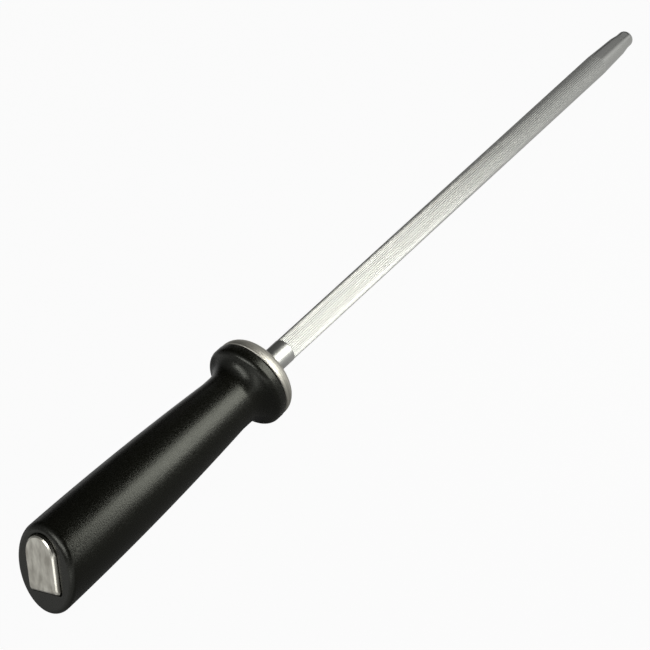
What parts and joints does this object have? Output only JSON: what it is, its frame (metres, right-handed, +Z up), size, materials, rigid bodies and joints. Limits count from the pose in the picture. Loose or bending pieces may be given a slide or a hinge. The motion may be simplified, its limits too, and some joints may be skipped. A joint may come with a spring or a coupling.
{
  "type": "knife sharpening steel",
  "caption": "Straight fluted steel rod with a plain shank and a polished nose, a turned round guard, and a tapering black grip with a slanted butt and an arched metal cap, for honing knives.",
  "frame": {"origin": "on the rod's axis, in the plane of the guard's flat front face, where the plain shank starts", "axes": "+X along the rod towards its tip; +Z up, on the side where the slanted butt comes nearest the tip; +Y across, square to the grip's plane of symmetry"},
  "size_m": [0.3819, 0.036, 0.036],
  "materials": {
    "rod_steel": "hard-chromed steel, finely fluted along its length, with a polished shank and nose",
    "guard_steel": "turned stainless steel with fine circular tool lines",
    "black_grip": "satin black moulded plastic with a fine grain",
    "fastener_steel": "plain bright steel",
    "cap_steel": "stainless steel brushed lengthwise, with a bright bevelled edge"
  },
  "bodies": {
    "root": {"sharpening_rod": "rod_steel", "guard": "guard_steel", "grip": "black_grip", "nut_washer": "fastener_steel", "tang_nut": "fastener_steel", "end_cap": "cap_steel"}
  },
  "joints": []
}
